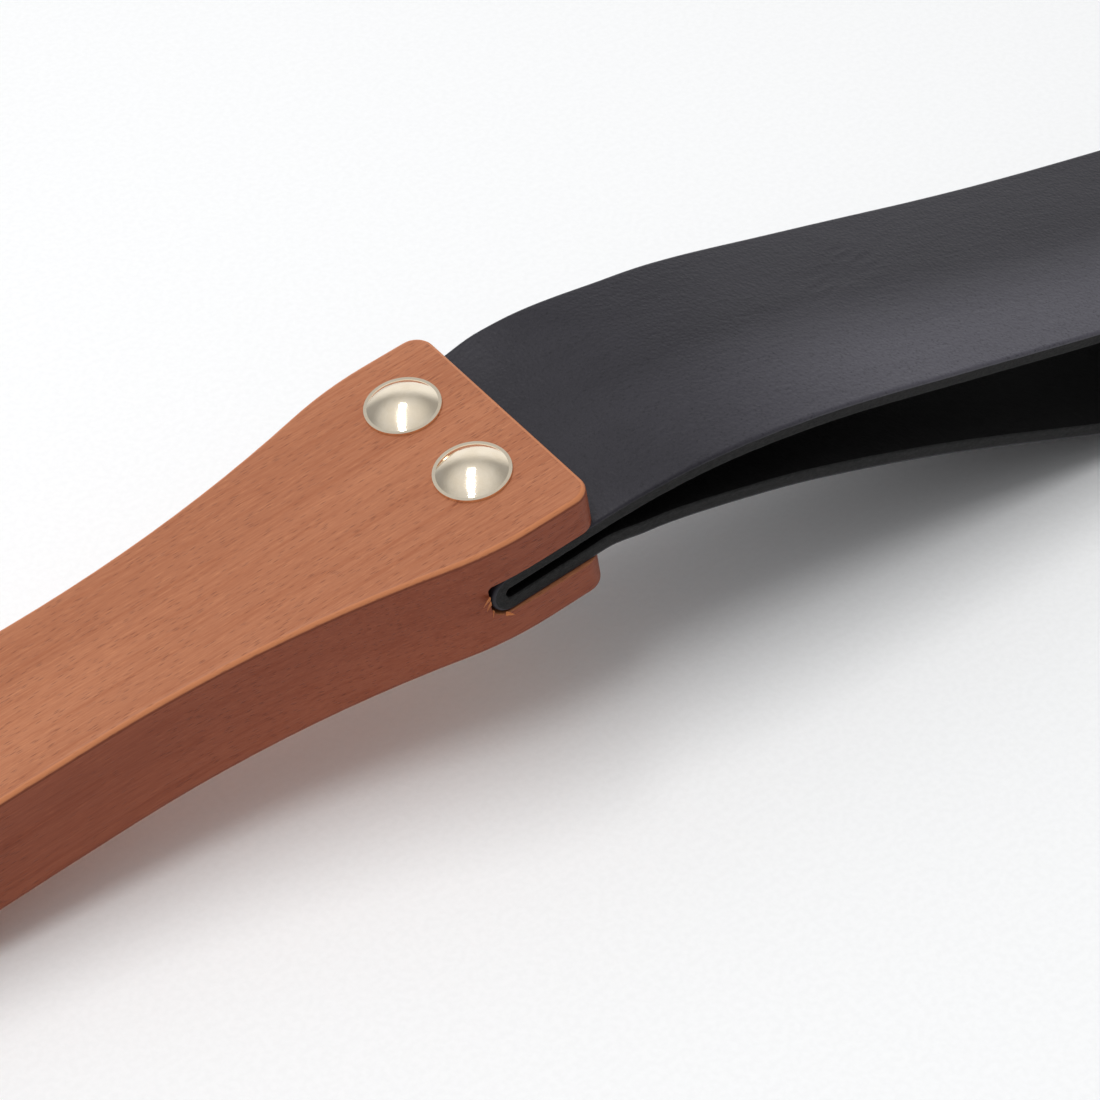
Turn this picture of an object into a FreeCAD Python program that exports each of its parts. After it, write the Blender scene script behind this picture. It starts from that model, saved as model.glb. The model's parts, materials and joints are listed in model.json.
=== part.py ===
"""Leather strop: a flat beech handle, a doubled leather strap and a hanging ring.

One strip of leather is folded in half. The fold sits in a slot sawn into the handle's head and is
held there by two double-cap rivets. At the far end the upper layer turns round the bar of a D-ring
and comes back under itself, and two more rivets hold it to the end of the lower layer.

The strop lies on a bench at z = 0: on the tip of the handle's butt, on the belly of the lower layer
and on the far rivets. The handle slopes up towards its head, so the two layers bow apart.

Two frames are used. The handle frame has its origin on the top face, in the middle of the head's
end, with X towards the strap and Z out of the top face. The bench frame has the same origin in X,
is level, and has z = 0 on the bench. The finished model is shifted along X so that its own middle
is at x = 0.
"""
import FreeCAD
import Part
import math
import os

Vector = FreeCAD.Vector

# Handle: a flat board, sawn to a tool-handle outline (mm)
handle_length = 150.0
handle_thickness = 20.4
head_width = 45.7
head_straight = 10.8          # parallel part of the head, from its end
head_corner_radius = 3.4
waist_width = 28.1
waist_from_end = 78.7
waist_radius_share = 0.788    # of the waist's hollow in the two radii from head to waist
grip_swell_radius = 1335.0    # the far gentler hollow on the butt's side
butt_bulge = 5.0              # how far the butt's end curves out
butt_corner_radius = 9.0
edge_radius = 1.0             # rounding of all the long edges
lie_angle = 11.0              # how far the handle slopes up to its head on the bench (degrees)

# Slot for the strap, open at the end and at both sides
upper_jaw = 7.3
slot_depth = 20.0
slot_upper_radius = 0.8       # of the blind end's upper corner
slot_lower_radius = 2.6       # of its lower corner

# Leather
strap_inset = 0.55            # of each edge of the strap from the side of the head
leather_thickness = 2.5
fold_gap = 1.9                # between the two layers where they leave the fold
fold_clearance = 0.3          # from the fold to the blind end of the slot
strap_run = 330.0             # from the head's end to the stitched-back end, along the bench
tab_length = 28.0             # of the upper layer's turned-back end, up to the loop
tab_gap = 0.1                 # between the upper layer and the tab under it
lift_run = 45.0               # in which the lower layer climbs from the bench to the far rivets
lower_end_from_rivet = 7.0    # from the far rivets to the end of the lower layer
# Bow of each layer's middle line: (distance from the head's end, height over its start at the slot)
upper_bow = [(30.0, 2.9), (62.0, -0.6), (98.0, -6.8), (148.0, -13.8)]
lower_bow = [(30.0, -2.1), (63.0, -10.4), (105.0, -24.2)]
upper_slope = -6.5            # of the upper layer at the last point of its bow (degrees)
landing_angle = 19.4          # slope at which the lower layer comes down to the bench (degrees)

# Where the strap bends at the handle
bend_reach = 8.0              # from the head's end to the bend's axis
bend_cover = 2.4              # from the layers' outer faces to the rim of the bend
bend_gap = 0.3

# Double-cap rivets
rivet_spacing = 18.5
head_rivet_from_end = 11.4
head_rivet_offset = 1.4       # how far the pair in the handle sits to the left of the middle
end_rivet_from_tab = 12.0
cap_diameter = 12.0
cap_height = 2.3
cap_rim_height = 0.5
cap_rim_width = 0.5
cap_sheet = 0.45
flange_thickness = 0.6
tube_radius = 2.5
tube_wall = 0.75
tube_short_of_grip = 1.5
post_short_of_grip = 2.5
post_clearance = 0.05
rivet_hole_clearance = 0.1

# D-ring
wire_diameter = 4.0
bar_end_clearance = 0.2       # from the strap's edge to where the bar starts to turn
ring_corner_radius = 4.5      # of the wire's middle line, at each end of the bar
loop_clearance = 0.3          # between the wire and the leather round it
loop_length = 9.0             # from the bend where the layers part to the middle of the bar
loop_bend_radius = 10.0
loop_from_rivet = 9.0         # from the far rivets to that bend


# Values that follow from the sizes above
lie = math.radians(lie_angle)
slot_height = 2 * leather_thickness + fold_gap
slot_top = -upper_jaw
slot_bottom = -upper_jaw - slot_height
strap_width = head_width - 2 * strap_inset
half_leather = leather_thickness / 2
bend_radius = slot_height / 2 + bend_cover
wire_radius = wire_diameter / 2
butt_edge_drop = (handle_length - edge_radius) * math.sin(lie)
board_drop = (handle_thickness - edge_radius) * math.cos(lie)
head_lift = butt_edge_drop + board_drop + edge_radius
butt_x = -(handle_length - edge_radius) * math.cos(lie) + edge_radius * math.sin(lie) - edge_radius

tab_start = strap_run
end_rivet_x = tab_start + end_rivet_from_tab
loop_start = end_rivet_x + loop_from_rivet
bar_x = loop_start + loop_length
bar_z = cap_height + 2 * leather_thickness + tab_gap / 2
end_layer_offset = half_leather + tab_gap / 2
end_stack = 3 * leather_thickness + tab_gap
ring_half_width = strap_width / 2 + bar_end_clearance + ring_corner_radius
ring_depth = ring_corner_radius + ring_half_width
ring_droop = math.asin((bar_z - wire_radius) / ring_depth)
ring_tip_x = bar_x + ring_depth * math.cos(ring_droop) + wire_radius
centre_shift = Vector(-(butt_x + ring_tip_x) / 2, 0, 0)
tab_end = loop_start - tab_length


def to_bench(shape):
    """Takes a shape from the handle frame to the bench frame."""
    placed = shape.copy()
    turn = FreeCAD.Rotation(Vector(0, 1, 0), -lie_angle)
    placed.Placement = FreeCAD.Placement(Vector(0, 0, head_lift), turn).multiply(placed.Placement)
    return placed


def bench_point(x, z):
    """A point of the handle frame's middle plane, in the bench frame."""
    level_x = x * math.cos(lie) - z * math.sin(lie)
    level_z = x * math.sin(lie) + z * math.cos(lie) + head_lift
    return Vector(level_x, 0, level_z)


def box(x_low, x_high, y_low, y_high, z_low, z_high):
    corner = Vector(x_low, y_low, z_low)
    return Part.makeBox(x_high - x_low, y_high - y_low, z_high - z_low, corner)


def arc_about(centre, radius, start, end):
    """Arc in the XY plane about a centre, from one angle to another (degrees)."""
    def at(angle):
        turn = math.radians(angle)
        return centre + Vector(radius * math.cos(turn), radius * math.sin(turn), 0)
    return Part.Arc(at(start), at((start + end) / 2), at(end)).toShape()


# Handle

def side_outline():
    """One side of the handle from the head's end to the butt: straight, then three tangent arcs."""
    head_half = head_width / 2
    waist_half = waist_width / 2
    flare = waist_from_end - head_straight
    rise = head_half - waist_half
    radii = (flare ** 2 + rise ** 2) / (2 * rise)
    waist_radius = radii * waist_radius_share
    shoulder_radius = radii - waist_radius
    turn = math.degrees(math.asin(flare / radii))
    shoulder_centre = Vector(-head_straight, head_half - shoulder_radius, 0)
    waist_centre = Vector(-waist_from_end, waist_half + waist_radius, 0)
    swell_centre = Vector(-waist_from_end, waist_half + grip_swell_radius, 0)
    grip = handle_length - butt_bulge - waist_from_end
    swell_turn = math.degrees(math.asin(grip / grip_swell_radius))
    head_edge = Part.LineSegment(Vector(0, head_half, 0), Vector(-head_straight, head_half, 0))
    shoulder = arc_about(shoulder_centre, shoulder_radius, 90, 90 + turn)
    waist = arc_about(waist_centre, waist_radius, 270 + turn, 270)
    swell = arc_about(swell_centre, grip_swell_radius, 270, 270 - swell_turn)
    return [head_edge.toShape(), shoulder, waist, swell]


def board():
    """The handle's board with rounded corners and edges, before its slot and holes."""
    side = side_outline()
    other_side = [edge.mirror(Vector(0, 0, 0), Vector(0, 1, 0)) for edge in side]
    head_half = head_width / 2
    butt_corner = side[-1].Vertexes[-1].Point
    for vertex in side[-1].Vertexes:
        if vertex.X < butt_corner.x:
            butt_corner = vertex.Point
    other_corner = Vector(butt_corner.x, -butt_corner.y, 0)
    butt = Part.Arc(butt_corner, Vector(-handle_length, 0, 0), other_corner).toShape()
    end = Part.LineSegment(Vector(0, -head_half, 0), Vector(0, head_half, 0)).toShape()
    loop = Part.Wire(Part.__sortEdges__(side + [butt] + other_side + [end]))
    blank = Part.Face(loop).extrude(Vector(0, 0, -handle_thickness))
    blank = round_corners(blank, 0.0, head_corner_radius)
    blank = round_corners(blank, butt_corner.x, butt_corner_radius)
    faces = (0.0, -handle_thickness)
    rims = [e for e in blank.Edges if any(lies_at_height(e, z) for z in faces)]
    return blank.makeFillet(edge_radius, rims)


def round_corners(solid, x, radius):
    """Rounds the two upright edges of the board at one x."""
    upright = []
    for edge in solid.Edges:
        box_of = edge.BoundBox
        if box_of.ZLength > handle_thickness / 2 and abs(box_of.Center.x - x) < 0.01:
            upright.append(edge)
    return solid.makeFillet(radius, upright)


def lies_at_height(edge, z):
    return all(abs(vertex.Z - z) < 1e-4 for vertex in edge.Vertexes)


def lies_at(edge, x, z):
    return lies_at_height(edge, z) and all(abs(vertex.X - x) < 1e-4 for vertex in edge.Vertexes)


def rivet_places(x, offset=0.0):
    half = rivet_spacing / 2
    return {"left": Vector(x, offset + half, 0), "right": Vector(x, offset - half, 0)}


def head_rivet_places():
    return rivet_places(-head_rivet_from_end, head_rivet_offset)


def upright_hole(place, low, high):
    radius = tube_radius + rivet_hole_clearance
    return Part.makeCylinder(radius, high - low, Vector(place.x, place.y, low))


def slot():
    """The space sawn out for the strap, with the two corners of its blind end rounded."""
    space = box(-slot_depth, edge_radius, -head_width, head_width, slot_bottom, slot_top)
    for height, radius in ((slot_top, slot_upper_radius), (slot_bottom, slot_lower_radius)):
        corner = [e for e in space.Edges if lies_at(e, -slot_depth, height)]
        space = space.makeFillet(radius, corner)
    return space


def handle():
    solid = board().cut(slot())
    for place in head_rivet_places().values():
        solid = solid.cut(upright_hole(place, -handle_thickness - 1, 1))
    return to_bench(solid)


# Leather

def strip(edges):
    """A strip of leather whose middle line is a path in the XZ plane."""
    path = Part.Wire(edges)
    start = path.OrderedVertexes[0].Point
    first = path.OrderedEdges[0]
    at_start = first.valueAt(first.FirstParameter)
    parameter = first.FirstParameter
    if at_start.distanceToPoint(start) > 1e-6:
        parameter = first.LastParameter
    along = first.tangentAt(parameter)
    across = Vector(-along.z, 0, along.x) * half_leather
    side = Vector(0, strap_width / 2, 0)
    corners = [start + across + side, start + across - side, start - across - side]
    corners += [start - across + side, start + across + side]
    section = Part.makePolygon(corners)
    return path.makePipeShell([section], True, False)


def line(a, b):
    return Part.LineSegment(a, b).toShape()


def arc(a, middle, b):
    return Part.Arc(a, middle, b).toShape()


def smooth(points, start_slope, end_slope):
    """A smooth curve through points in the XZ plane, with its slopes at both ends in radians."""
    first = Vector(math.cos(start_slope), 0, math.sin(start_slope))
    last = Vector(math.cos(end_slope), 0, math.sin(end_slope))
    curve = Part.BSplineCurve()
    curve.interpolate(Points=points, InitialTangent=first, FinalTangent=last)
    return curve.toShape()


def eased(start, start_slope, end, end_slope):
    """One cubic curve between two points of the XZ plane, with its slopes in radians."""
    reach = (end - start).Length / 3
    leave = start + Vector(math.cos(start_slope), 0, math.sin(start_slope)) * reach
    arrive = end - Vector(math.cos(end_slope), 0, math.sin(end_slope)) * reach
    curve = Part.BezierCurve()
    curve.setPoles([start, leave, arrive, end])
    return curve.toShape()


def bowed(start, bow):
    """The layer's start and the points of its bow, in the bench frame."""
    return [start] + [Vector(x, 0, start.z + rise) for x, rise in bow]


upper_start = bench_point(0, slot_top - half_leather)
lower_start = bench_point(0, slot_bottom + half_leather)


def fold():
    """The folded middle of the strip, which lies in the slot, up to the head's end."""
    middle = (slot_top + slot_bottom) / 2
    radius = slot_height / 2 - half_leather
    centre_x = -slot_depth + fold_clearance + half_leather + radius
    upper = bench_point(centre_x, middle + radius)
    back = bench_point(centre_x - radius, middle)
    lower = bench_point(centre_x, middle - radius)
    return strip([line(upper_start, upper), arc(upper, back, lower), line(lower, lower_start)])


def upper_flight():
    """The upper layer beyond the head, with the loop round the ring's bar and the tab under it."""
    end = Vector(tab_start, 0, bar_z + end_layer_offset)
    bow = bowed(upper_start, upper_bow)
    slope = math.radians(upper_slope)
    edges = [smooth(bow, lie, slope), eased(bow[-1], slope, end, 0.0)]
    return strip(edges + loop_edges(end))


def loop_edges(start):
    """From the start of the flat end over the ring's bar and back along the tab."""
    radius = wire_radius + loop_clearance + half_leather
    parting = Vector(loop_start, 0, bar_z + end_layer_offset)
    reach = math.hypot(loop_length, end_layer_offset)
    climb = math.asin(radius / reach) - math.atan2(end_layer_offset, loop_length)
    cut = loop_bend_radius * math.tan(climb / 2)
    bend_end = parting + Vector(math.cos(climb), 0, math.sin(climb)) * cut
    bend_start = parting - Vector(cut, 0, 0)
    bend_centre = bend_start + Vector(0, 0, loop_bend_radius)
    half = math.radians(270) + climb / 2
    bend_middle = bend_centre + Vector(math.cos(half), 0, math.sin(half)) * loop_bend_radius
    bar = Vector(bar_x, 0, bar_z)
    over = bar + Vector(-math.sin(climb), 0, math.cos(climb)) * radius
    nose = bar + Vector(radius, 0, 0)
    half_round = (math.radians(90) + climb) / 2
    shoulder = bar + Vector(math.cos(half_round), 0, math.sin(half_round)) * radius
    above = [line(start, bend_start), arc(bend_start, bend_middle, bend_end), line(bend_end, over)]
    above.append(arc(over, shoulder, nose))
    below = [edge.mirror(bar, Vector(0, 0, 1)) for edge in reversed(above[1:])]
    tab = Vector(tab_end, 0, bar_z - end_layer_offset)
    return above + below + [line(Vector(bend_start.x, 0, tab.z), tab)]


def lower_flight():
    """The lower layer beyond the head: down to the bench, along it and up to the far rivets."""
    bow = bowed(lower_start, lower_bow)
    slope = math.radians(landing_angle)
    drop = bow[-1].z - half_leather
    landing_x = bow[-1].x + drop / math.tan(slope / 2)
    landing_radius = drop / (1 - math.cos(slope))
    centre = Vector(landing_x, 0, half_leather + landing_radius)
    half = slope / 2
    middle = centre - Vector(math.sin(half), 0, math.cos(half)) * landing_radius
    landing = Vector(landing_x, 0, half_leather)
    lift = Vector(tab_start - lift_run, 0, half_leather)
    level = Vector(tab_start, 0, cap_height + half_leather)
    end = Vector(end_rivet_x + lower_end_from_rivet, 0, level.z)
    edges = [smooth(bow, lie, -slope), arc(bow[-1], middle, landing), line(landing, lift)]
    return strip(edges + [eased(lift, 0.0, level, 0.0), line(level, end)])


def bend_zones():
    """The space of the strap's root and the space of its swinging part, face to face at the bend."""
    axis = Vector(bend_reach, -strap_width, (slot_top + slot_bottom) / 2)
    across = 2 * strap_width
    socket = Part.makeCylinder(bend_radius + bend_gap, across, axis, Vector(0, 1, 0))
    barrel = Part.makeCylinder(bend_radius, across, axis, Vector(0, 1, 0))
    far = 2 * (strap_run + handle_length)
    behind = box(-far, bend_reach, -strap_width, strap_width, -far, far)
    ahead = box(bend_reach, far, -strap_width, strap_width, -far, far)
    return to_bench(behind.cut(socket)), to_bench(ahead.fuse(barrel))


def one_solid(shape):
    """The only solid of a shape, with its seams removed."""
    clean = shape.removeSplitter()
    if len(clean.Solids) != 1:
        raise ValueError(f"expected one solid, not {len(clean.Solids)}")
    return clean.Solids[0]


def leather():
    """The strip as three solids: its root in the handle, and the two layers that swing with it."""
    behind, ahead = bend_zones()
    upper = upper_flight()
    lower = lower_flight()
    root = fold().fuse([upper.common(behind), lower.common(behind)])
    for place in head_rivet_places().values():
        hole = upright_hole(place, slot_bottom - 1, slot_top + 1)
        root = root.cut(to_bench(hole))
    upper = upper.common(ahead)
    lower = lower.common(ahead)
    for place in rivet_places(end_rivet_x).values():
        hole = upright_hole(place, 0, cap_height + end_stack + 1)
        upper = upper.cut(hole)
        lower = lower.cut(hole)
    layers = {"leather_root": root, "upper_layer": upper, "lower_layer": lower}
    return {name: one_solid(shape) for name, shape in layers.items()}


# Rivets: the top of the grip is at z = 0 and the rivet goes down through it

def turned(points_and_arcs):
    """A solid of revolution about Z from the edges of half its section."""
    section = Part.Face(Part.Wire(points_and_arcs))
    return section.revolve(Vector(0, 0, 0), Vector(0, 0, 1), 360)


def dome_radius(half_width, height):
    return (half_width ** 2 + height ** 2) / (2 * height)


def dome_arc(half_width, base, height):
    """Arc of a spherical dome in the XZ plane, from its rim at half_width to its top."""
    radius = dome_radius(half_width, height)
    centre = Vector(0, 0, base + height - radius)
    half = math.asin(half_width / radius) / 2
    middle = centre + Vector(math.sin(half), 0, math.cos(half)) * radius
    return Part.Arc(Vector(half_width, 0, base), middle, Vector(0, 0, base + height)).toShape()


def cavity_radius():
    """Inside radius of the cap where its dome, of even thickness, meets the top of the flange."""
    foot = cap_diameter / 2 - cap_rim_width
    outer = dome_radius(foot, cap_height - cap_rim_height)
    centre_z = cap_height - outer
    return math.sqrt((outer - cap_sheet) ** 2 - (flange_thickness - centre_z) ** 2)


def cap():
    """The spun sheet cap: a flat rim and a dome, hollow underneath."""
    outer = cap_diameter / 2
    dome_foot = outer - cap_rim_width
    inner = cavity_radius()
    top = Vector(0, 0, cap_height)
    hollow_top = Vector(0, 0, cap_height - cap_sheet)
    edges = [
        line(Vector(inner, 0, 0), Vector(outer, 0, 0)),
        line(Vector(outer, 0, 0), Vector(outer, 0, cap_rim_height)),
        line(Vector(outer, 0, cap_rim_height), Vector(dome_foot, 0, cap_rim_height)),
        dome_arc(dome_foot, cap_rim_height, cap_height - cap_rim_height),
        line(top, hollow_top),
        dome_arc(inner, flange_thickness, cap_height - cap_sheet - flange_thickness),
        line(Vector(inner, 0, flange_thickness), Vector(inner, 0, 0)),
    ]
    return turned(edges)


def tube(grip):
    """The female half's stem: a tube under a closed flange."""
    flange = Part.makeCylinder(cavity_radius(), flange_thickness)
    length = grip - tube_short_of_grip
    stem = Part.makeCylinder(tube_radius, length, Vector(0, 0, -length))
    bore = Part.makeCylinder(tube_radius - tube_wall, length, Vector(0, 0, -length))
    return flange.fuse(stem).removeSplitter().cut(bore)


def post(grip):
    """The male half's stem: a solid post on a closed flange, pressed up into the tube."""
    flange = Part.makeCylinder(cavity_radius(), flange_thickness, Vector(0, 0, -grip - flange_thickness))
    length = grip - post_short_of_grip
    radius = tube_radius - tube_wall - post_clearance
    stem = Part.makeCylinder(radius, length, Vector(0, 0, -grip))
    return flange.fuse(stem).removeSplitter()


def rivet(grip):
    """The four pieces of a double-cap rivet that holds a stack of the given thickness."""
    under = cap().mirror(Vector(0, 0, 0), Vector(0, 0, 1))
    under.translate(Vector(0, 0, -grip))
    return {"top_cap": cap(), "tube": tube(grip), "post": post(grip), "bottom_cap": under}


def head_rivets():
    pieces = {}
    for side, place in head_rivet_places().items():
        for name, piece in rivet(handle_thickness).items():
            piece.translate(place)
            pieces[f"{side}_head_rivet_{name}"] = to_bench(piece)
    return pieces


def end_rivets():
    pieces = {}
    top = Vector(0, 0, cap_height + end_stack)
    for side, place in rivet_places(end_rivet_x).items():
        for name, piece in rivet(end_stack).items():
            piece.translate(place + top)
            pieces[f"{side}_end_rivet_{name}"] = piece
    return pieces


# D-ring: its bar is on the Y axis and it opens towards +X, before it is tipped down onto the bench

def wire_disc(place, along):
    circle = Part.Circle(place, along, wire_radius)
    return Part.Face(Part.Wire(circle.toShape()))


def d_ring():
    corner_y = ring_half_width - ring_corner_radius
    upright = Vector(0, 0, 1)
    bar_end = Vector(0, corner_y, 0)
    bar = wire_disc(-bar_end, Vector(0, 1, 0)).extrude(bar_end * 2)
    corner_centre = Vector(ring_corner_radius, corner_y, 0)
    left = wire_disc(bar_end, Vector(0, 1, 0)).revolve(corner_centre, upright, -90)
    right = left.mirror(Vector(0, 0, 0), Vector(0, 1, 0))
    bow_start = Vector(ring_corner_radius, ring_half_width, 0)
    bow_centre = Vector(ring_corner_radius, 0, 0)
    bow = wire_disc(bow_start, Vector(1, 0, 0)).revolve(bow_centre, upright, -180)
    ring = one_solid(bar.fuse([left, right, bow]))
    ring.rotate(Vector(0, 0, 0), Vector(0, 1, 0), math.degrees(ring_droop))
    ring.translate(Vector(bar_x, 0, bar_z))
    return ring


def strop():
    """Every node of the strop in its final place."""
    nodes = {"handle": handle()}
    nodes.update(leather())
    nodes.update(head_rivets())
    nodes.update(end_rivets())
    nodes["d_ring"] = d_ring()
    for shape in nodes.values():
        shape.translate(centre_shift)
    return nodes


os.makedirs("parts", exist_ok=True)
for node_name, node_shape in strop().items():
    node_shape.exportStep(f"parts/{node_name}.step")
    print(node_name, "valid" if node_shape.isValid() else "NOT VALID", round(node_shape.Volume, 1))
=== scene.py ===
"""Looks of the leather strop: stained beech, black leather, pale gold rivets and ring.

The strip of leather is one mesh, swept along the middle line that the CAD part uses: from the end
of the lower layer back to the fold in the handle's slot, out along the upper layer, round the bar
of the ring and back to the end of the tab. Lengths are in millimetres until a point is placed.
"""
import json
import math
import bmesh
import bpy
import numpy as np
from mathutils import Matrix, Vector, noise


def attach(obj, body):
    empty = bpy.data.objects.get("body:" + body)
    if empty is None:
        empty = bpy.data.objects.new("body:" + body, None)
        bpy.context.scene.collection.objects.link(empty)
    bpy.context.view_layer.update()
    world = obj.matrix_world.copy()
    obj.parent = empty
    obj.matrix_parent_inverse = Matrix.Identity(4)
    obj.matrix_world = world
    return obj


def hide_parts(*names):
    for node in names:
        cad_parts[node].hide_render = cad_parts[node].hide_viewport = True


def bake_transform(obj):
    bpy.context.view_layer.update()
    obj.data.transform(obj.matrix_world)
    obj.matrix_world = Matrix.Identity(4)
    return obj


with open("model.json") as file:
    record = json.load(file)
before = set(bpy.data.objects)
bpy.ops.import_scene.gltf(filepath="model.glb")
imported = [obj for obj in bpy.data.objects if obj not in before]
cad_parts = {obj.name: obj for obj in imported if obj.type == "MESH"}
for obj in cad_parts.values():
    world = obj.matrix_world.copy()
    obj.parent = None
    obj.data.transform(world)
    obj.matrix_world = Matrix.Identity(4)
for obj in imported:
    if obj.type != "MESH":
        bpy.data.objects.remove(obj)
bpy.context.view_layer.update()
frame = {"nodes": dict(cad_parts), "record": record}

MM = 0.001

# The handle's own frame, from the mount on its upper face
GRIP_FROM_HEAD = 95.0
grip = {mount["name"]: mount for mount in frame["record"]["mounts"]}["hand_grip"]
up = Vector(grip["axis"])
along = Vector((up.z, 0.0, -up.x))
head = Vector(grip["pos_m"]) + along * GRIP_FROM_HEAD * MM
LIE = math.asin(along.z)

# Sizes the leather shares with the CAD part
UPPER_JAW = 7.3
SLOT_HEIGHT = 6.9
SLOT_DEPTH = 20.0
HEAD_WIDTH = 45.7
STRAP_WIDTH = 44.6
THICKNESS = 2.5
FOLD_CLEARANCE = 0.3
STRAP_RUN = 330.0
TAB_LENGTH = 28.0
TAB_GAP = 0.1
LIFT_RUN = 45.0
LOWER_END_FROM_RIVET = 7.0
UPPER_BOW = [(30.0, 2.9), (62.0, -0.6), (98.0, -6.8), (148.0, -13.8)]
LOWER_BOW = [(30.0, -2.1), (63.0, -10.4), (105.0, -24.2)]
UPPER_SLOPE = -6.5
LANDING_ANGLE = 19.4
RIVET_SPACING = 18.5
HEAD_RIVET_FROM_END = 11.4
HEAD_RIVET_OFFSET = 1.4
END_RIVET_FROM_TAB = 12.0
CAP_HEIGHT = 2.3
CAP_RADIUS = 6.0
HOLE_RADIUS = 2.6
WIRE_RADIUS = 2.0
LOOP_CLEARANCE = 0.3
LOOP_LENGTH = 9.0
LOOP_BEND_RADIUS = 10.0
LOOP_FROM_RIVET = 9.0

HALF = THICKNESS / 2
END_RIVET_X = STRAP_RUN + END_RIVET_FROM_TAB
LOOP_START = END_RIVET_X + LOOP_FROM_RIVET
SLOT_MIDDLE = -UPPER_JAW - SLOT_HEIGHT / 2
SLOT_BOTTOM = -UPPER_JAW - SLOT_HEIGHT
BAR = np.array([LOOP_START + LOOP_LENGTH, CAP_HEIGHT + 2 * THICKNESS + TAB_GAP / 2])
LAYER_OFFSET = HALF + TAB_GAP / 2
TAB_END = LOOP_START - TAB_LENGTH
HEAD_LIFT = head.z / MM

# How the leather differs from a flat strip with square corners
GRAIN_ROUND = 0.55             # size of the corners on the grain side
FLESH_ROUND = 0.28             # and of those on the flesh side
CROWN = 0.30                   # the upper layer's middle over its edges
WAVES = 0.10                   # slow rises and falls of both layers
FAR_EDGE_ROLL = 1.0            # rise of the upper layer's far edge
NEAR_EDGE_SHARE = 0.4          # of the roll, by which the near edge falls
FAR_EDGE_CURL = 1.15           # further rise of the far edge beside the handle
LOWER_SAG = 0.9                # drop of the lower layer beside the handle
EDGE_WANDER = 0.16             # of the whole edge, in and out
EDGE_FUZZ = 0.05               # of the cut face, in and out
EDGE_WEAR = 0.04               # of the cut face, only in
NAP_LUMPS = 0.06               # of the flesh side
LOWEST = 0.03                  # least height over the bench
RIVET_SWELL = 0.22             # rise of the leather beside a far cap
SWELL_WIDTH = 1.2
CREASE_AT = (467.0, 11.0)      # along and across the strip
CREASE_TURN = math.radians(26)
CREASE_LONG, CREASE_WIDE, CREASE_STEP, CREASE_DEEP = 13.0, 4.0, 2.3, 0.34
# A painted sheen: a paler patch on the near side of the upper layer that stands for reflected light
PAINTED_SHEEN_FROM = 399.0            # where the painted sheen starts, along the strip, a little out from the handle
PAINTED_SHEEN_RUN = 62.0

# The camera's place in the handle's own frame and the way it looks, then the floor and the lamp
CAMERA_AT = (-144.3, -275.3, 303.8)
SHOT_AZIMUTH = math.radians(52.76)
SHOT_DROP = math.radians(41.31)
SHOT_ROLL = math.radians(2.29)
LENS = 94.75
SENSOR = 36.0
FLOOR_SIZE = 6.0               # in metres, like the lamp's place and sides
LAMP_AT = (-0.45, 0.10, 1.25)
LAMP_SIDES = (0.22, 1.25)
LAMP_POWER = 10.0


def from_bench(x, y, z):
    """A point given from the head's end, level with the bench, in the row frame."""
    return Vector((head.x + x * MM, y * MM, z * MM))


def from_handle(x, y, z):
    """A point given in the handle's own frame, in the row frame."""
    return head + along * x * MM + Vector((0.0, y * MM, 0.0)) + up * z * MM


def slot_line(x, z):
    """A point of the handle's middle plane, from the head's end and level with the bench."""
    level = x * math.cos(LIE) - z * math.sin(LIE)
    return np.array([level, x * math.sin(LIE) + z * math.cos(LIE) + HEAD_LIFT])


def ease(value, low, high):
    """From 0 at low to 1 at high, with level ends."""
    t = np.clip((value - low) / (high - low), 0.0, 1.0)
    return t * t * (3 - 2 * t)


def between(value, start, full, fade, end):
    """1 from full to fade and 0 outside start and end, with smooth slopes."""
    return float(ease(value, start, full) * (1 - ease(value, fade, end)))


# The middle line of the leather, as points (distance from the head's end, height over the bench)

def straight(a, b):
    return np.linspace(a, b, 60)


def arc(centre, radius, first, last):
    turns = np.radians(np.linspace(first, last, 80))
    return np.array(centre) + radius * np.stack([np.cos(turns), np.sin(turns)], 1)


def heading(slope):
    return np.array([math.cos(slope), math.sin(slope)])


def smooth(points, first_slope, last_slope):
    """The smooth cubic spline through points, with its slopes at both ends in radians."""
    knots = np.array(points)
    step = np.linalg.norm(np.diff(knots, axis=0), axis=1)
    count = len(knots)
    system = np.eye(count)
    rates = np.zeros((count, 2))
    rates[0], rates[-1] = heading(first_slope), heading(last_slope)
    for i in range(1, count - 1):
        before, after = step[i - 1], step[i]
        system[i, i - 1:i + 2] = [after, 2 * (before + after), before]
        rise_before = (knots[i] - knots[i - 1]) / before
        rise_after = (knots[i + 1] - knots[i]) / after
        rates[i] = 3 * (after * rise_before + before * rise_after)
    speeds = np.linalg.solve(system, rates)
    spans = []
    for i in range(count - 1):
        t = np.linspace(0, 1, 60)[:, None]
        at_start = (1 + 2 * t) * (1 - t) ** 2 * knots[i] + t * (1 - t) ** 2 * step[i] * speeds[i]
        at_end = t * t * (3 - 2 * t) * knots[i + 1] + t * t * (t - 1) * step[i] * speeds[i + 1]
        spans.append(at_start + at_end)
    return np.concatenate(spans)


def eased(start, start_slope, end, end_slope):
    """One cubic curve between two points, with its slopes in radians."""
    reach = np.linalg.norm(end - start) / 3
    leave = start + heading(start_slope) * reach
    arrive = end - heading(end_slope) * reach
    t = np.linspace(0, 1, 100)[:, None]
    first = (1 - t) ** 3 * start + 3 * (1 - t) ** 2 * t * leave
    return first + 3 * (1 - t) * t * t * arrive + t ** 3 * end


def bowed(start, bow):
    return [start] + [np.array([x, start[1] + rise]) for x, rise in bow]


upper_start = slot_line(0, -UPPER_JAW - HALF)
lower_start = slot_line(0, SLOT_BOTTOM + HALF)


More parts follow.
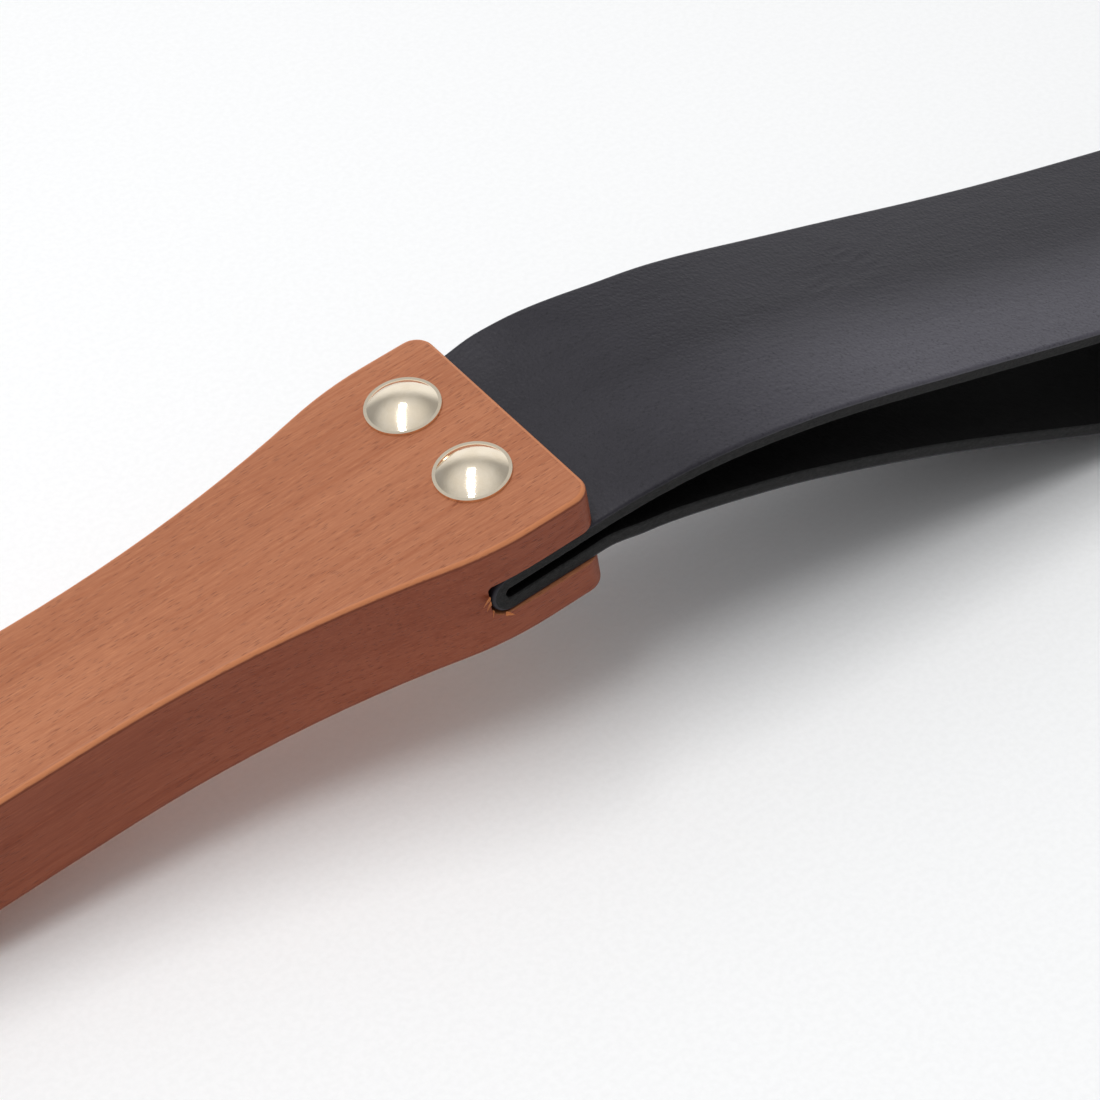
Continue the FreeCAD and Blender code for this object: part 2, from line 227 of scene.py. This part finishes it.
def lower_line():
    """From the slot down to the bench, along it and up to the far rivets."""
    bow = bowed(lower_start, LOWER_BOW)
    slope = math.radians(LANDING_ANGLE)
    drop = bow[-1][1] - HALF
    landing_x = bow[-1][0] + drop / math.tan(slope / 2)
    radius = drop / (1 - math.cos(slope))
    lift = np.array([STRAP_RUN - LIFT_RUN, HALF])
    level = np.array([STRAP_RUN, CAP_HEIGHT + HALF])
    end = np.array([END_RIVET_X + LOWER_END_FROM_RIVET, level[1]])
    landing = arc([landing_x, HALF + radius], radius, 270 - LANDING_ANGLE, 270)
    parts = [smooth(bow, LIE, -slope), landing, straight(landing[-1], lift)]
    return np.concatenate(parts + [eased(lift, 0.0, level, 0.0), straight(level, end)])


def fold_line():
    """From the end of the lower run in the slot round the fold to the end of the upper run."""
    radius = SLOT_HEIGHT / 2 - HALF
    centre_x = -SLOT_DEPTH + FOLD_CLEARANCE + HALF + radius
    bend = arc([centre_x, SLOT_MIDDLE], radius, 270, 90)
    placed = np.array([slot_line(x, z) for x, z in bend])
    runs = [straight(lower_start, placed[0]), placed, straight(placed[-1], upper_start)]
    return np.concatenate(runs)


def upper_line():
    """From the slot to the far end, round the bar of the ring and back to the end of the tab."""
    end = np.array([STRAP_RUN, BAR[1] + LAYER_OFFSET])
    slope = math.radians(UPPER_SLOPE)
    bow = bowed(upper_start, UPPER_BOW)
    radius = WIRE_RADIUS + LOOP_CLEARANCE + HALF
    climb = math.asin(radius / math.hypot(LOOP_LENGTH, LAYER_OFFSET))
    climb -= math.atan2(LAYER_OFFSET, LOOP_LENGTH)
    cut = LOOP_BEND_RADIUS * math.tan(climb / 2)
    bend_start = np.array([LOOP_START - cut, end[1]])
    turn = math.degrees(climb)
    bend = arc(bend_start + [0, LOOP_BEND_RADIUS], LOOP_BEND_RADIUS, 270, 270 + turn)
    round_bar = arc(BAR, radius, 90 + turn, 0)
    above = [straight(end, bend_start), bend, straight(bend[-1], round_bar[0]), round_bar]
    half_loop = np.concatenate(above[1:])
    mirrored = half_loop[::-1] * [1, -1] + [0, 2 * BAR[1]]
    tab = straight(mirrored[-1], np.array([TAB_END, mirrored[-1][1]]))
    flight = [smooth(bow, LIE, slope), eased(bow[-1], slope, end, 0.0)]
    return np.concatenate(flight + above + [mirrored, tab])


def even_line(points, longest=1.4, sharpest=7.0):
    """The line resampled so that no step is longer than longest (mm) or turns more than sharpest."""
    steps = np.linalg.norm(np.diff(points, axis=0), axis=1)
    points = points[np.concatenate([[True], steps > 1e-6])]
    move = np.diff(points, axis=0)
    steps = np.linalg.norm(move, axis=1)
    angles = np.unwrap(np.arctan2(move[:, 1], move[:, 0]))
    bends = np.abs(np.gradient(angles))
    cost = np.concatenate([[0], np.cumsum(steps / longest + np.degrees(bends) / sharpest)])
    lengths = np.concatenate([[0], np.cumsum(steps)])
    wanted = np.linspace(0, cost[-1], int(cost[-1]) + 2)
    at = np.interp(wanted, cost, lengths)
    line = np.stack([np.interp(at, lengths, points[:, i]) for i in (0, 1)], 1)
    return line, at


def headings(line):
    move = np.gradient(line, axis=0)
    return move / np.linalg.norm(move, axis=1)[:, None]


# The leather mesh

GRAIN, EDGE, FLESH = 0, 1, 2


def leather_section():
    """The strip's section as (across, out of the grain side, kind of surface), anticlockwise."""
    half = STRAP_WIDTH / 2
    soft, hard = GRAIN_ROUND, FLESH_ROUND
    inset = np.array([0.0, 0.25, 0.6, 1.1, 1.8, 2.8, 4.2])
    middle = np.linspace(-half + 6, half - 6, 50)
    spread = np.concatenate([-half + soft + inset, middle, (half - soft - inset)[::-1]])
    rows = [(y, HALF, GRAIN) for y in spread]
    for turn in (60, 30):
        angle = math.radians(turn)
        lift = HALF - soft * (1 - math.sin(angle))
        rows.append((half - soft * (1 - math.cos(angle)), lift, GRAIN))
    for n in np.linspace(HALF - soft, -HALF + hard, 6):
        rows.append((half, n, EDGE))
    rows.append((half - hard * 0.3, -HALF + hard * 0.3, EDGE))
    under = [(-y, -HALF, FLESH) for y in spread * (half - hard) / (half - soft)]
    other_side = [(-y, n, kind) for y, n, kind in rows[len(spread):]][::-1]
    return rows + under + other_side


def lumps(x, y, z, seed):
    """Smooth unevenness from about -1 to 1, different for each seed."""
    return noise.noise(Vector((x + 17.3 * seed, y - 5.1 * seed, z + 2.7 * seed)))


def roll_at(x, upper):
    """How far the far edge of the upper layer rises at one place. Its near edge falls by less."""
    return FAR_EDGE_ROLL * upper * between(x, 4, 45, 200, 300)


def far_edge_lift(x, upper):
    """How much more the upper layer's far edge curls up where it leaves the handle."""
    return FAR_EDGE_CURL * upper * between(x, 0, 11, 14, 36)


def lower_sag(x, upper):
    """How far the lower layer sags just after it leaves the handle."""
    return LOWER_SAG * (1 - upper) * between(x, 3, 11, 16, 45)


def crease_depth(s, y):
    """The depth of a bundle of shallow slanting creases in one patch of the upper layer."""
    out, over = s - CREASE_AT[0], y - CREASE_AT[1]
    turn_cos, turn_sin = math.cos(CREASE_TURN), math.sin(CREASE_TURN)
    along_it = out * turn_cos + over * turn_sin
    across_it = over * turn_cos - out * turn_sin
    patch = math.exp(-(along_it / CREASE_LONG) ** 2 - (across_it / CREASE_WIDE) ** 2)
    if patch < 0.02:
        return 0.0
    phase = across_it / CREASE_STEP + 0.8 * lumps(s / 11, y / 6, 0, 7)
    strength = 0.6 + 0.8 * lumps(s / 8, y / 2.5, 0, 8)
    return CREASE_DEEP * patch * strength * (0.5 + 0.5 * math.cos(2 * math.pi * phase))


def leather_point(place, normal, s, upper, y, n, kind):
    """Where one point of the section goes, with the unevenness of cut and rolled leather."""
    half = STRAP_WIDTH / 2
    free = between(place[0], 6, 40, 285, 320)
    side = y / half
    across = y + side * EDGE_WANDER * free * lumps(s / 31, side, 0, 1)
    out = n
    if kind == EDGE:
        across += math.copysign(EDGE_FUZZ, y) * lumps(s * 1.6, n * 1.1, side, 2)
        across -= math.copysign(EDGE_WEAR, y) * (1 + lumps(s * 0.35, n * 2.5, side, 3))
    if kind == FLESH:
        out += NAP_LUMPS * lumps(s * 0.6, y * 0.6, 0, 4)
    out += CROWN * free * upper * (0.3 - side * side)
    out += WAVES * free * lumps(s / 24, y / 15, 0, 5)
    if kind == GRAIN:
        out -= crease_depth(s, y)
    lift = far_edge_lift(place[0], upper) * max(side, 0.0) ** 2
    across += 0.35 * lift
    lift += roll_at(place[0], upper) * (side if side > 0 else NEAR_EDGE_SHARE * side)
    height = normal[1] * out + place[1] + lift - lower_sag(place[0], upper)
    reach = place[0] + normal[0] * out
    if kind != FLESH:
        height += rivet_swell(reach, across) * normal[1]
    return reach, across, max(height, LOWEST)


def rivet_swell(x, y):
    """How far the leather stands up round the rim of a far rivet's cap."""
    far = math.hypot(x - END_RIVET_X, abs(y) - RIVET_SPACING / 2)
    if far < CAP_RADIUS:
        return 0.0
    return RIVET_SWELL * math.exp(-((far - CAP_RADIUS - 0.5) / SWELL_WIDTH) ** 2)


def strip_lines():
    """The whole middle line, the lengths along it and where the upper layer starts."""
    lower, fold, upper = lower_line()[::-1], fold_line(), upper_line()
    whole = np.concatenate([lower, fold, upper])
    line, lengths = even_line(whole)
    start = np.linalg.norm(np.diff(np.concatenate([lower, fold]), axis=0), axis=1).sum()
    return line, lengths, lengths > start


def leather_strip():
    section = leather_section()
    line, lengths, is_upper = strip_lines()
    ways = headings(line)
    mesh = bmesh.new()
    strip_place = mesh.verts.layers.float_vector.new("strip_place")
    rings = []
    for place, way, s, upper in zip(line, ways, lengths, is_upper):
        normal = np.array([-way[1], way[0]])
        ring = []
        for y, n, kind in section:
            x, across, height = leather_point(place, normal, s, upper, y, n, kind)
            vert = mesh.verts.new(from_bench(x, across, height))
            vert[strip_place] = Vector((s, y, n))
            ring.append(vert)
        rings.append(ring)
    skin(mesh, rings, section)
    piece = as_object(mesh, "leather_strip")
    for kind in (grain_leather, edge_leather, shaded_flesh_leather):
        piece.data.materials.append(kind())
    punch_holes(piece)
    return piece


def skin(mesh, rings, section):
    """Closes the rings of points into one skin. A face takes the lower kind of its two rows."""
    count = len(section)
    for a, b in zip(rings, rings[1:]):
        for i in range(count):
            j = (i + 1) % count
            face = mesh.faces.new((a[i], b[i], b[j], a[j]))
            face.material_index = min(section[i][2], section[j][2])
            face.smooth = True
    close_end(mesh, rings[0], section)
    close_end(mesh, rings[-1], section)
    bmesh.ops.recalc_face_normals(mesh, faces=mesh.faces)


def close_end(mesh, ring, section):
    """Closes one cut end of the strip with rows of faces between its grain and flesh sides."""
    grain = [i for i, row in enumerate(section) if row[2] == GRAIN and row[1] == HALF]
    flesh = [i for i, row in enumerate(section) if row[2] == FLESH]
    pairs = list(zip(grain, flesh[::-1]))
    for (a, b), (c, d) in zip(pairs, pairs[1:]):
        mesh.faces.new((ring[a], ring[c], ring[d], ring[b])).material_index = EDGE
    for rim in (ring[grain[-1]:flesh[0] + 1], ring[flesh[-1]:] + [ring[grain[0]]]):
        mesh.faces.new(rim).material_index = EDGE


def as_object(mesh, name):
    data = bpy.data.meshes.new(name)
    mesh.to_mesh(data)
    mesh.free()
    piece = bpy.data.objects.new(name, data)
    bpy.context.scene.collection.objects.link(piece)
    return piece


def hole_punch(top, way, length):
    """A many-sided rod, centred on top and running along way, used to cut a round hole."""
    mesh = bmesh.new()
    turn = Vector((0, 0, 1)).rotation_difference(way).to_matrix().to_4x4()
    bmesh.ops.create_cone(
        mesh, cap_ends=True, segments=40, radius1=HOLE_RADIUS * MM, radius2=HOLE_RADIUS * MM,
        depth=length * MM, matrix=Matrix.Translation(top) @ turn)
    return mesh


def punch_holes(piece):
    """Cuts the four rivet holes through both layers of the strip."""
    rods = []
    for side in (-1, 1):
        y = side * RIVET_SPACING / 2
        in_head = from_handle(-HEAD_RIVET_FROM_END, y + HEAD_RIVET_OFFSET, SLOT_MIDDLE)
        rods.append(hole_punch(in_head, up, 12.0))
        rods.append(hole_punch(from_bench(END_RIVET_X, y, BAR[1]), Vector((0, 0, 1)), 16.0))
    for rod in rods:
        cutter = as_object(rod, "punch")
        cut = piece.modifiers.new("hole", "BOOLEAN")
        cut.operation, cut.solver, cut.object = "DIFFERENCE", "MANIFOLD", cutter
        apply_modifiers(piece)
        bpy.data.objects.remove(cutter)


def apply_modifiers(piece):
    """Puts the shape that the modifiers give into the piece's own mesh."""
    shown = piece.evaluated_get(bpy.context.evaluated_depsgraph_get())
    data = bpy.data.meshes.new_from_object(shown)
    piece.modifiers.clear()
    piece.data = data


# Torn wood at the blind end of the slot, on the side towards the camera

def splinter(mesh, root, tip, width, thick):
    """A thin curled chip that tapers from its root to its tip."""
    way = (tip - root).normalized()
    out = Vector((0, -1, 0))
    side = way.cross(out).normalized()
    rings = []
    steps = 7
    for i in range(steps):
        t = i / (steps - 1)
        curl = out * thick * MM * 1.4 * t * t
        centre = root.lerp(tip, t) + curl
        wide = width * MM * (1 - 0.85 * t ** 1.5) / 2
        deep = thick * MM * (1 - 0.7 * t) / 2
        jag = 1 + 0.35 * lumps(t * 9, width * 5, thick, 6)
        ring = [centre + side * wide * jag, centre + out * deep, centre - side * wide * jag]
        rings.append([mesh.verts.new(p) for p in ring + [centre - out * deep]])
    for a, b in zip(rings, rings[1:]):
        for i in range(4):
            mesh.faces.new((a[i], b[i], b[(i + 1) % 4], a[(i + 1) % 4]))
    mesh.faces.new(rings[0])
    mesh.faces.new(rings[-1][::-1])


def slot_splinters():
    """Chips left standing where the saw broke out: root, tip, width and thickness of each."""
    mesh = bmesh.new()
    near = -HEAD_WIDTH / 2
    chips = [
        ((-20.0, near + 0.5, SLOT_BOTTOM + 5.0), (-21.8, near - 0.12, SLOT_BOTTOM + 5.2), 0.80, 0.22),
        ((-20.0, near + 0.5, SLOT_BOTTOM + 4.0), (-21.4, near - 0.10, SLOT_BOTTOM + 4.0), 0.95, 0.22),
        ((-19.8, near + 0.5, SLOT_BOTTOM + 2.2), (-20.5, near - 0.08, SLOT_BOTTOM + 1.9), 0.60, 0.16),
        ((-18.0, near + 0.5, SLOT_BOTTOM + 0.1), (-17.0, near - 0.08, SLOT_BOTTOM - 0.2), 0.80, 0.16),
    ]
    for root, tip, width, thick in chips:
        splinter(mesh, from_handle(*root), from_handle(*tip), width, thick)
    bmesh.ops.recalc_face_normals(mesh, faces=mesh.faces)
    return as_object(mesh, "slot_splinters")


# Materials

class Recipe:
    """A material's node tree, with short calls for the nodes that the finishes share."""

    def __init__(self, name):
        self.material = bpy.data.materials.new(name)
        self.material.use_nodes = True
        self.tree = self.material.node_tree
        self.shader = self.tree.nodes["Principled BSDF"]

    def add(self, kind, **settings):
        node = self.tree.nodes.new("ShaderNode" + kind)
        for name, value in settings.items():
            setattr(node, name, value)
        return node

    def feed(self, socket, value):
        """Links another node's output to the socket, or sets the socket to a plain value."""
        if isinstance(value, bpy.types.NodeSocket):
            self.tree.links.new(value, socket)
        else:
            socket.default_value = value

    def mapped(self, vector, scale, turn=(0, 0, 0)):
        node = self.add("Mapping")
        self.feed(node.inputs["Vector"], vector)
        node.inputs["Scale"].default_value = scale
        node.inputs["Rotation"].default_value = turn
        return node.outputs["Vector"]

    def noise(self, vector, scale, detail=3.0, roughness=0.5, distortion=0.0):
        node = self.add("TexNoise")
        self.feed(node.inputs["Vector"], vector)
        sizes = {"Scale": scale, "Detail": detail, "Roughness": roughness, "Distortion": distortion}
        for name, value in sizes.items():
            node.inputs[name].default_value = value
        return node.outputs["Fac"]

    def cells(self, vector, scale, feature="F1", output="Distance"):
        node = self.add("TexVoronoi", feature=feature)
        self.feed(node.inputs["Vector"], vector)
        node.inputs["Scale"].default_value = scale
        return node.outputs[output]

    def span(self, value, low, high, to_low=0.0, to_high=1.0):
        """The value carried from one range to another, and held inside it."""
        node = self.add("MapRange", interpolation_type="SMOOTHSTEP")
        self.feed(node.inputs["Value"], value)
        ends = {"From Min": low, "From Max": high, "To Min": to_low, "To Max": to_high}
        for name, end in ends.items():
            node.inputs[name].default_value = end
        return node.outputs["Result"]

    def calc(self, operation, a, b):
        node = self.add("Math", operation=operation)
        self.feed(node.inputs[0], a)
        self.feed(node.inputs[1], b)
        return node.outputs[0]

    def blend(self, share, a, b, way="MIX"):
        node = self.add("Mix", data_type="RGBA", blend_type=way)
        self.feed(node.inputs[0], share)
        self.feed(node.inputs[6], a)
        self.feed(node.inputs[7], b)
        return node.outputs[2]

    def bump(self, height, distance, strength=1.0, under=None):
        node = self.add("Bump")
        node.inputs["Strength"].default_value = strength
        node.inputs["Distance"].default_value = distance * MM
        self.feed(node.inputs["Height"], height)
        if under is not None:
            self.feed(node.inputs["Normal"], under)
        return node.outputs["Normal"]

    def finish(self, colour, roughness, normal, **plain):
        self.feed(self.shader.inputs["Base Color"], colour)
        self.feed(self.shader.inputs["Roughness"], roughness)
        self.feed(self.shader.inputs["Normal"], normal)
        for name, value in plain.items():
            self.shader.inputs[name.replace("_", " ")].default_value = value
        return self.material


def rgb(red, green, blue):
    """A shader colour from the way it looks on a screen, 0 to 255."""
    def level(value):
        share = value / 255
        return share / 12.92 if share <= 0.04045 else ((share + 0.055) / 1.055) ** 2.4
    return level(red), level(green), level(blue), 1.0


def wood_place(recipe):
    """Places in the handle's own frame, in millimetres with X along the grain."""
    place = recipe.add("TexCoord").outputs["Object"]
    return recipe.mapped(place, (1 / MM, 1 / MM, 1 / MM), turn=(0, LIE, 0))


def beech():
    """Stained beech: even reddish brown, fine fibres and short dark flecks along the grain, with light
    and shade painted by the way each face turns.
    """
    r = Recipe("stained_beech")
    place = wood_place(r)
    broad = r.noise(r.mapped(place, (0.010, 0.07, 0.07)), 1.0, 3, 0.55, 0.3)
    streak = r.noise(r.mapped(place, (0.035, 1.1, 1.1)), 1.0, 4, 0.62)
    fibre = r.noise(r.mapped(place, (0.30, 4.0, 4.0)), 1.0, 4, 0.7)
    colour = r.blend(r.span(broad, 0.3, 0.7), rgb(170, 107, 75), rgb(183, 119, 85))
    colour = r.blend(r.span(streak, 0.42, 0.72, 0, 0.5), colour, rgb(156, 88, 56))
    colour = r.blend(r.span(fibre, 0.5, 0.75, 0, 0.45), colour, rgb(210, 142, 100))
    colour = r.blend(r.span(fibre, 0.48, 0.28, 0, 0.45), colour, rgb(142, 78, 50))
    marks = flecks(r, place)
    colour = r.blend(r.calc("MULTIPLY", marks, 0.5), colour, rgb(108, 56, 38))
    colour = painted_light_by_facing(r, colour)
    height = r.calc("SUBTRACT", r.calc("MULTIPLY", fibre, 0.5), r.calc("MULTIPLY", marks, 0.6))
    sheen = r.span(streak, 0.3, 0.7, 0.40, 0.50)
    return r.finish(colour, sheen, r.bump(height, 0.05), **{"Specular IOR Level": 0.18})


def flecks(r, place):
    """Short dark dashes, the cut ends of rays, about a millimetre and a half long."""
    slanted = r.mapped(place, (0.50, 3.6, 3.6))
    near = r.cells(slanted, 1.0)
    chance = r.cells(slanted, 1.0, output="Color")
    return r.calc("MULTIPLY", r.span(near, 0.40, 0.12), r.span(chance, 0.40, 0.60))


def painted_light_by_facing(r, colour):
    """Paints light and shade by the way each face turns: painted shade on the upright sides, a painted
    highlight along the rounded long edges, and darker rims next to the sides.
    """
    turned = r.mapped(r.add("NewGeometry").outputs["Normal"], (1, 1, 1), turn=(0, LIE, 0))
    parts = r.add("SeparateXYZ")
    r.feed(parts.inputs[0], turned)
    facing = r.calc("ABSOLUTE", parts.outputs["Z"], 0.0)
    # Painted shade: the upright sides darker than the top and bottom faces
    colour = r.blend(r.span(facing, 0.55, 0.25), colour, (0.66, 0.44, 0.40, 1), "MULTIPLY")
    # Painted highlight: a paler band along the rounded long edges, where top and bottom turn into the
    # sides
    light = r.calc("MULTIPLY", r.span(facing, 0.35, 0.62), r.span(facing, 0.985, 0.90))
    dark = r.calc("MULTIPLY", r.span(facing, 0.03, 0.12), r.span(facing, 0.46, 0.30))
    colour = r.blend(r.calc("MULTIPLY", light, 0.75), colour, rgb(206, 132, 88))
    return r.blend(r.calc("MULTIPLY", dark, 0.55), colour, rgb(104, 50, 30))


def raw_wood():
    """Torn, unstained wood: pale orange fibres."""
    r = Recipe("torn_wood")
    place = wood_place(r)
    fibre = r.noise(r.mapped(place, (0.8, 7.0, 7.0)), 1.0, 4, 0.65)
    colour = r.blend(r.span(fibre, 0.3, 0.7), rgb(170, 88, 42), rgb(214, 134, 76))
    return r.finish(colour, r.span(fibre, 0.3, 0.7, 0.7, 0.9), r.bump(fibre, 0.12))


def strip_place(r):
    """Places on the strip: along it, across it and out of its grain side, in millimetres."""
    return r.add("Attribute", attribute_name="strip_place").outputs["Vector"]


def grain_leather():
    """The smooth outer side: a fine pebbled grain, faint mottling, shallow ripples and a painted
    sheen.
    """
    r = Recipe("leather_grain")
    place = strip_place(r)
    pebbles = r.cells(place, 1.7, "SMOOTH_F1")
    small = r.noise(place, 3.4, 3, 0.6)
    mottle = r.noise(r.mapped(place, (0.05, 0.09, 0.09)), 1.0, 4, 0.6)
    colour = r.blend(r.span(mottle, 0.3, 0.7), rgb(39, 37, 43), rgb(45, 43, 49))
    colour = r.blend(r.span(small, 0.55, 0.8, 0, 0.4), colour, rgb(58, 56, 64))
    # Painted sheen: a paler patch along the near side of the upper layer, out from the handle, for
    # light reflected there
    colour = r.blend(r.calc("MULTIPLY", painted_sheen(r, place), 0.8), colour, rgb(84, 82, 90))
    speck = r.noise(place, 2.1, 5, 0.75)
    colour = r.blend(r.span(speck, 0.5, 0.3, 0, 0.6), colour, rgb(16, 15, 19))
    height = r.calc("ADD", r.calc("MULTIPLY", pebbles, 0.8), r.calc("MULTIPLY", small, 0.5))
    normal = r.bump(height, 0.08)
    normal = r.bump(r.noise(r.mapped(place, (0.10, 0.35, 0.35)), 1.0, 3, 0.6), 0.12, under=normal)
    rough = r.calc("ADD", r.span(mottle, 0.3, 0.7, 0.38, 0.42), r.span(small, 0.3, 0.7, 0, 0.06))
    return r.finish(colour, rough, normal, **{"Specular IOR Level": 0.22})


def painted_sheen(r, place):
    """Where a painted sheen lightens the near side of the upper layer, from 0 to 1."""
    parts = r.add("SeparateXYZ")
    r.feed(parts.inputs[0], place)
    near = r.span(parts.outputs["Y"], 6.0, -16.0)
    out = r.span(parts.outputs["X"], PAINTED_SHEEN_FROM, PAINTED_SHEEN_FROM + PAINTED_SHEEN_RUN)
    return r.calc("MULTIPLY", near, out)


def edge_leather():
    """The cut edge: matte, fibrous and dyed a little paler than the grain."""
    r = Recipe("leather_edge")
    place = strip_place(r)
    fibres = r.noise(r.mapped(place, (1.4, 5.0, 4.0)), 1.0, 4, 0.7)
    clumps = r.noise(place, 1.1, 3, 0.6)
    colour = r.blend(r.span(fibres, 0.35, 0.7), rgb(20, 20, 20), rgb(48, 47, 47))
    colour = r.blend(r.span(clumps, 0.5, 0.75, 0, 0.6), colour, rgb(15, 15, 15))
    height = r.calc("ADD", fibres, r.calc("MULTIPLY", clumps, 0.6))
    rough = r.span(fibres, 0.3, 0.7, 0.75, 0.95)
    return r.finish(colour, rough, r.bump(height, 0.16), **{"Specular IOR Level": 0.3})


def shaded_flesh_leather():
    """The rough inner side: a short black nap, its colours taken down to near black as painted shade
    for the hollow between the layers.
    """
    r = Recipe("leather_flesh_painted_shade")
    place = strip_place(r)
    nap = r.noise(r.mapped(place, (1.6, 1.1, 1.3)), 1.0, 5, 0.7, 0.6)
    drift = r.noise(place, 0.08, 3, 0.5)
    # Painted shade: near-black colours stand for the shade in the hollow between the layers
    colour = r.blend(r.span(nap, 0.3, 0.75), rgb(6, 6, 6), rgb(18, 17, 17))
    colour = r.blend(r.span(drift, 0.3, 0.7, 0, 0.4), colour, rgb(12, 12, 12))
    plain = {"Specular IOR Level": 0.06, "Sheen Weight": 0.01, "Sheen Roughness": 0.5}
    return r.finish(colour, r.span(nap, 0.3, 0.7, 0.85, 1.0), r.bump(nap, 0.22), **plain)


def plated(name, light, dark, smooth_from, smooth_to):
    """Polished plate with a faint ripple, cloudy polish and hair-fine scratches."""
    r = Recipe(name)
    place = r.mapped(r.add("TexCoord").outputs["Object"], (1 / MM, 1 / MM, 1 / MM))
    cloud = r.noise(place, 0.35, 3, 0.55)
    ripple = r.noise(place, 0.9, 2, 0.5)
    scratch = r.noise(r.mapped(place, (0.6, 9.0, 9.0), turn=(0, 0, 0.6)), 1.0, 3, 0.6)
    colour = r.blend(r.span(cloud, 0.3, 0.7), light, dark)
    polish = r.span(cloud, 0.3, 0.7, smooth_from, smooth_to)
    rough = r.calc("ADD", polish, r.span(scratch, 0.5, 0.8, 0, 0.06))
    height = r.calc("ADD", r.calc("MULTIPLY", ripple, 0.6), r.calc("MULTIPLY", scratch, 0.05))
    return r.finish(colour, rough, r.bump(height, 0.025), Metallic=1.0)


def finish_nodes(nodes, finishes):
    """Gives each CAD node its finish. The leather's own nodes are hidden, so theirs never shows."""
    special = {"handle": "beech", "d_ring": "ring_metal"}
    for name, node in nodes.items():
        node.data.materials.clear()
        node.data.materials.append(finishes[special.get(name, "rivet_metal")])


# Floor, lights and camera

def studio():
    """A pale floor, soft light from all round and one narrow lamp overhead."""
    floor_mesh = bmesh.new()
    bmesh.ops.create_grid(floor_mesh, x_segments=2, y_segments=2, size=FLOOR_SIZE)
    floor = as_object(floor_mesh, "floor")
    floor.data.materials.append(floor_paper())
    bpy.context.scene.world = tent()
    bpy.context.scene.view_settings.view_transform = "Standard"
    softbox("strip", LAMP_AT, LAMP_SIDES, LAMP_POWER)


def tent():
    """Dim light from all round, with a pale low wall beyond the strop and a skylight above it."""
    world = bpy.data.worlds.new("studio")
    world.use_nodes = True
    tree = world.node_tree
    place = tree.nodes.new("ShaderNodeTexCoord")
    sky = tree.nodes["Background"]
    sky.inputs["Color"].default_value = (0.97, 0.985, 1.0, 1.0)
    overhead = (0.40, 0.52, 0.75), -0.2, 0.8, 0.20, 0.38
    wall = (math.cos(SHOT_AZIMUTH), math.sin(SHOT_AZIMUTH), 0.0), 0.60, 0.92, 0.0, 0.60
    skylight = (-0.25, 0.05, 0.97), 0.50, 1.0, 0.0, 0.45
    strength = sky.inputs["Strength"]
    for middle_of, low, high, dim, bright in (overhead, wall, skylight):
        towards = tree.nodes.new("ShaderNodeVectorMath")
        towards.operation = "DOT_PRODUCT"
        towards.inputs[1].default_value = middle_of
        shade = tree.nodes.new("ShaderNodeMapRange")
        shade.interpolation_type = "SMOOTHSTEP"
        ends = {"From Min": low, "From Max": high, "To Min": dim, "To Max": bright}
        for name, value in ends.items():
            shade.inputs[name].default_value = value
        tree.links.new(place.outputs["Generated"], towards.inputs[0])
        tree.links.new(towards.outputs["Value"], shade.inputs["Value"])
        total = tree.nodes.new("ShaderNodeMath")
        total.inputs[1].default_value = 0.0
        tree.links.new(total.outputs[0], strength)
        tree.links.new(shade.outputs["Result"], total.inputs[0])
        strength = total.inputs[1]
    return world


def floor_paper():
    r = Recipe("pale_paper")
    place = r.add("TexCoord").outputs["Object"]
    tooth = r.noise(place, 900.0, 3, 0.6)
    colour = r.blend(r.span(tooth, 0.3, 0.7), (0.93, 0.93, 0.93, 1), (0.96, 0.96, 0.96, 1))
    return r.finish(colour, r.span(tooth, 0.3, 0.7, 0.85, 0.95), r.bump(tooth, 0.02))


def softbox(name, place, sides, power):
    """A rectangular lamp that faces the head of the strop, with its second side along the view."""
    data = bpy.data.lights.new(name, "AREA")
    data.shape = "RECTANGLE"
    data.size, data.size_y = sides
    data.energy = power
    lamp = bpy.data.objects.new(name, data)
    away = (Vector(place) - head).normalized()
    level = Vector((math.sin(SHOT_AZIMUTH), -math.cos(SHOT_AZIMUTH), 0.0))
    side = (level - away * level.dot(away)).normalized()
    turn = Matrix((side, away.cross(side), away)).transposed()
    lamp.matrix_world = Matrix.Translation(place) @ turn.to_4x4()
    bpy.context.scene.collection.objects.link(lamp)


def camera():
    """Looks down on the head over the handle's near side, a little rolled, through a long lens."""
    place = from_handle(*CAMERA_AT)
    level = Vector((math.cos(SHOT_AZIMUTH), math.sin(SHOT_AZIMUTH), 0.0))
    view = level * math.cos(SHOT_DROP) - Vector((0.0, 0.0, math.sin(SHOT_DROP)))
    turn = view.to_track_quat("-Z", "Y").to_matrix() @ Matrix.Rotation(SHOT_ROLL, 3, "Z")
    data = bpy.data.cameras.new("camera")
    data.lens = LENS
    data.sensor_width = SENSOR
    data.clip_start = 0.02
    data.dof.use_dof = False
    shot = bpy.data.objects.new("camera", data)
    shot.matrix_world = Matrix.Translation(place) @ turn.to_4x4()
    bpy.context.scene.collection.objects.link(shot)
    bpy.context.scene.camera = shot


# Making

camera()
studio()
finishes = {
    "beech": beech(),
    "rivet_metal": plated("pale_gold_rivet", (0.95, 0.83, 0.66, 1), (0.90, 0.77, 0.59, 1), 0.08, 0.14),
    "ring_metal": plated("pale_gold_ring", (0.90, 0.79, 0.64, 1), (0.84, 0.72, 0.56, 1), 0.16, 0.24),
}

leather = leather_strip()
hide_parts("leather_root", "upper_layer", "lower_layer")
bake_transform(leather)

chips = slot_splinters()
chips.data.materials.append(raw_wood())
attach(chips, "root")

finish_nodes(frame["nodes"], finishes)
